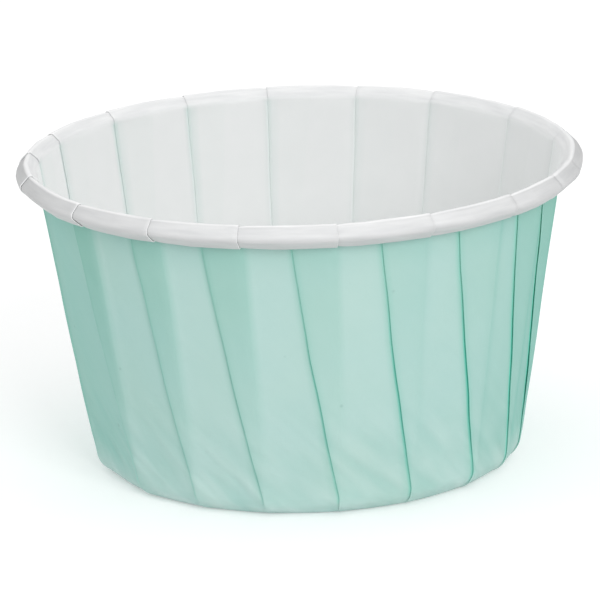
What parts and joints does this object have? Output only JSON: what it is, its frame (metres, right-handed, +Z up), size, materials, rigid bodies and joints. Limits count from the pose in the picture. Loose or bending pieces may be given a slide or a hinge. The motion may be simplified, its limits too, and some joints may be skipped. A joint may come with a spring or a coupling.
{
  "type": "cupcake liner",
  "caption": "Round tapered paper baking cup with a flat floor, knife-pleated wall and an outward rolled rim, mint outside and white inside.",
  "frame": {"origin": "middle of the underside of the floor, on the surface that the cup stands on", "axes": "+Z up along the cup's axis, out of its mouth; -Y towards the viewer of the picture"},
  "size_m": [0.0678, 0.068, 0.0376],
  "materials": {
    "coated_paper": "satin"
  },
  "bodies": {
    "root": {"liner": "coated_paper"}
  },
  "joints": []
}
